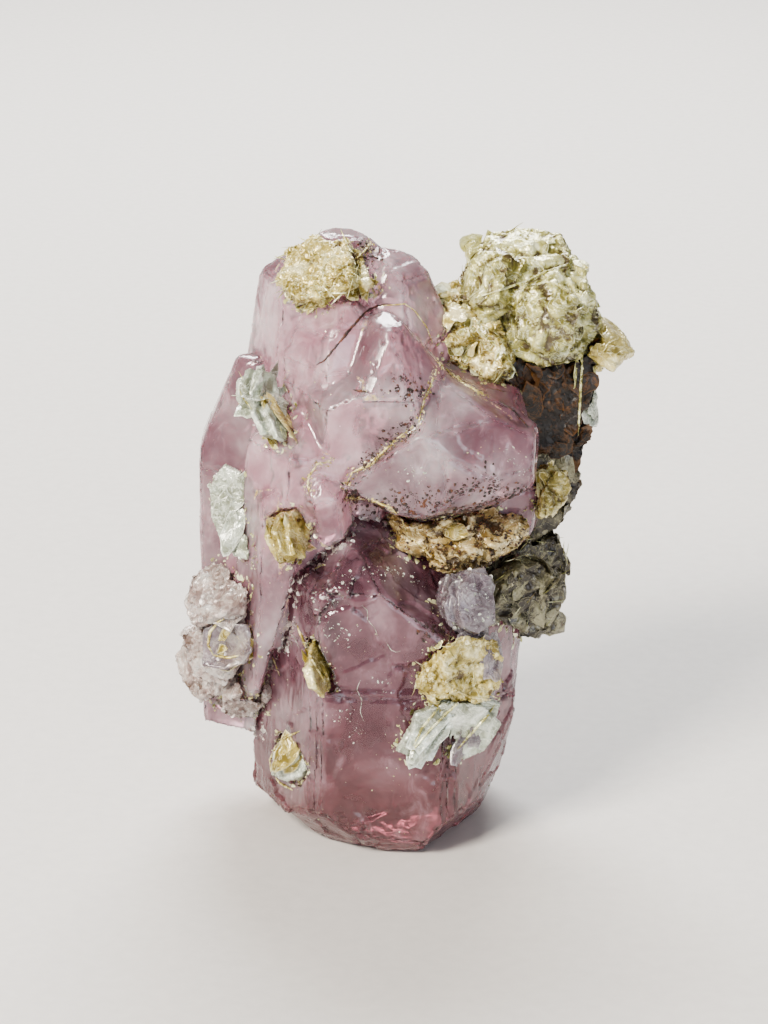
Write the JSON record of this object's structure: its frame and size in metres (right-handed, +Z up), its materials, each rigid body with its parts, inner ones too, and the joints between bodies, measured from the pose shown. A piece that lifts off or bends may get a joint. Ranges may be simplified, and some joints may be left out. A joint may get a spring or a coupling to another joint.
{
  "type": "apatite crystal specimen with muscovite mica",
  "caption": "Hand-sized mineral specimen: intergrown pink hexagonal apatite crystals with books of silvery and golden mica on their sides and top, standing on a flat broken base.",
  "frame": {"origin": "on the flat broken base, under the middle of the lower crystal", "axes": "+Z up through the specimen as it stands, -Y towards the front, where the widest face of the lower crystal looks, +X to the right"},
  "size_m": [0.0373, 0.0252, 0.0484],
  "materials": {
    "pink_apatite": "clear to milky pink crystal, smooth natural faces",
    "deep_pink_apatite": "deeper mauve pink crystal, smooth natural faces with growth lines",
    "silver_mica": "silvery pearly cleavage plates",
    "gold_mica": "golden pearly cleavage plates",
    "brown_mica": "dark brown iron-stained mica",
    "grey_mica": "grey-green mica with clay and fine sparkle"
  },
  "bodies": {
    "root": {"sliver_flake": "gold_mica", "curved_flake": "gold_mica", "lower_crystal": "deep_pink_apatite", "gold_wedge": "gold_mica", "upper_crystals": "pink_apatite", "crown_book": "silver_mica", "crown_trunk_book": "brown_mica", "wing_book": "gold_mica", "trunk_edge_flake": "silver_mica", "saddle_book": "gold_mica", "nub_book": "gold_mica", "matrix_upper_book": "grey_mica", "matrix_lower_book": "grey_mica", "shelf_book": "gold_mica", "front_silver_book": "silver_mica", "front_gold_book": "gold_mica", "front_ribbon_book": "silver_mica", "left_silver_book": "silver_mica", "ring_flake": "gold_mica", "left_crust": "grey_mica", "left_tuft_book": "silver_mica", "gold_patch_book": "gold_mica", "seam_book": "gold_mica"}
  },
  "joints": []
}
